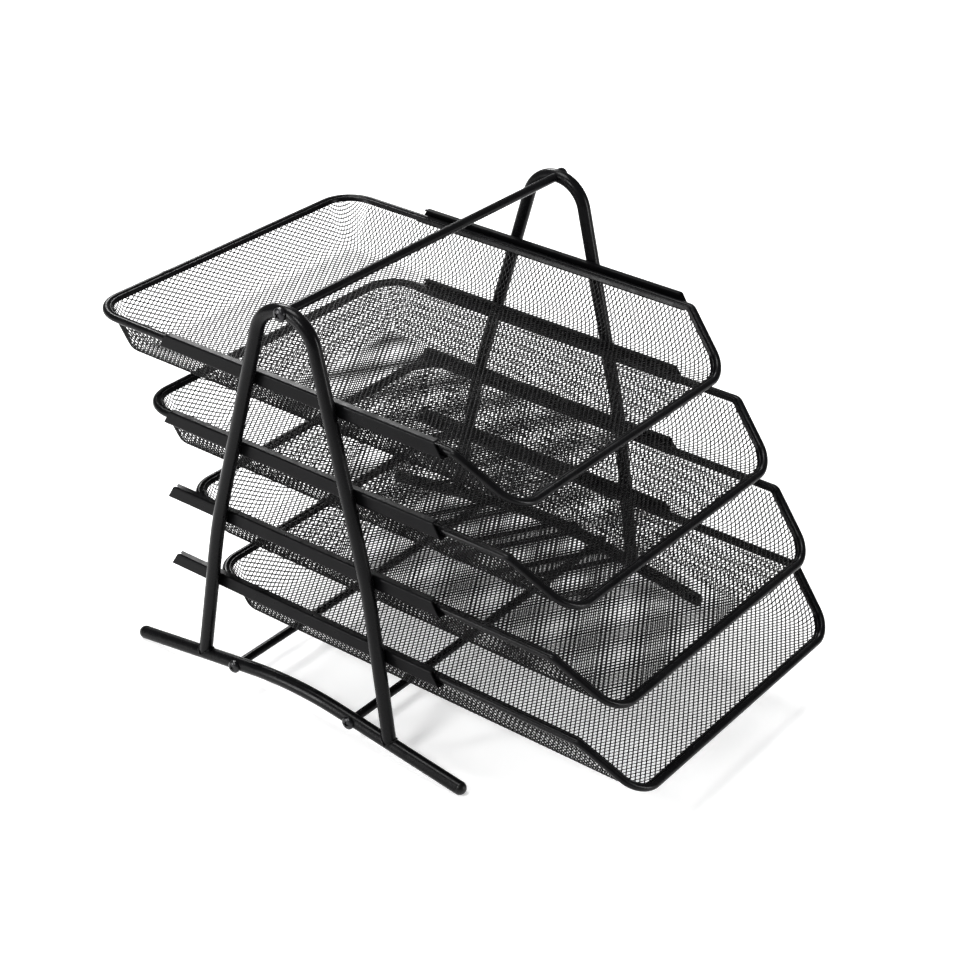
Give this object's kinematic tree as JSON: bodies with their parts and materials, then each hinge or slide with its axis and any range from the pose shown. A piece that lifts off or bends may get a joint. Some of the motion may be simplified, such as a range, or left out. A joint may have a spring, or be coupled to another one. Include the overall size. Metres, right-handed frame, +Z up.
{
  "type": "letter tray",
  "caption": "Black steel letter tray: mesh trays with rounded wire rims, sloped low mouths and staggered fronts, sliding in rails between bent-tube side arches.",
  "frame": {"origin": "on the floor, under the middle of the whole object's outline", "axes": "+Z up, +X to the right seen from the trays' open front, +Y from the open front towards the back; the trays pull out towards -Y"},
  "size_m": [0.3028, 0.4559, 0.3075],
  "materials": {
    "black_powder_coat": "satin",
    "black_mesh_coat": "satin",
    "black_plastic": "satin",
    "screw_finish": "semi-gloss"
  },
  "bodies": {
    "stand": {"left_arch_tube": "black_powder_coat", "left_base_tube": "black_powder_coat", "left_front_cap": "black_plastic", "left_back_cap": "black_plastic", "left_handle_screw": "screw_finish", "left_front_screw": "screw_finish", "left_back_screw": "screw_finish", "left_rail_1": "black_powder_coat", "left_rail_2": "black_powder_coat", "left_rail_3": "black_powder_coat", "left_rail_4": "black_powder_coat", "right_arch_tube": "black_powder_coat", "right_base_tube": "black_powder_coat", "right_front_cap": "black_plastic", "right_back_cap": "black_plastic", "right_handle_screw": "screw_finish", "right_front_screw": "screw_finish", "right_back_screw": "screw_finish", "right_rail_1": "black_powder_coat", "right_rail_2": "black_powder_coat", "right_rail_3": "black_powder_coat", "right_rail_4": "black_powder_coat", "handle_bar": "black_powder_coat", "front_cross_rod": "black_powder_coat", "back_cross_rod": "black_powder_coat"},
    "tray_1": {"tray_1_rim": "black_powder_coat", "tray_1_basket": "black_mesh_coat", "tray_1_hem": "black_powder_coat"},
    "tray_2": {"tray_2_rim": "black_powder_coat", "tray_2_basket": "black_mesh_coat", "tray_2_hem": "black_powder_coat"},
    "tray_3": {"tray_3_rim": "black_powder_coat", "tray_3_basket": "black_mesh_coat", "tray_3_hem": "black_powder_coat"},
    "tray_4": {"tray_4_rim": "black_powder_coat", "tray_4_basket": "black_mesh_coat", "tray_4_hem": "black_powder_coat"}
  },
  "joints": [
    {"name": "tray_1_slide", "type": "slide", "parent": "stand", "child": "tray_1", "axis": [0, -1, 0], "range_m": [-0.0024, 0.1846]},
    {"name": "tray_2_slide", "type": "slide", "parent": "stand", "child": "tray_2", "axis": [0, -1, 0], "range_m": [-0.0451, 0.1419]},
    {"name": "tray_3_slide", "type": "slide", "parent": "stand", "child": "tray_3", "axis": [0, -1, 0], "range_m": [-0.0816, 0.1054]},
    {"name": "tray_4_slide", "type": "slide", "parent": "stand", "child": "tray_4", "axis": [0, -1, 0], "range_m": [-0.1034, 0.0836]}
  ]
}
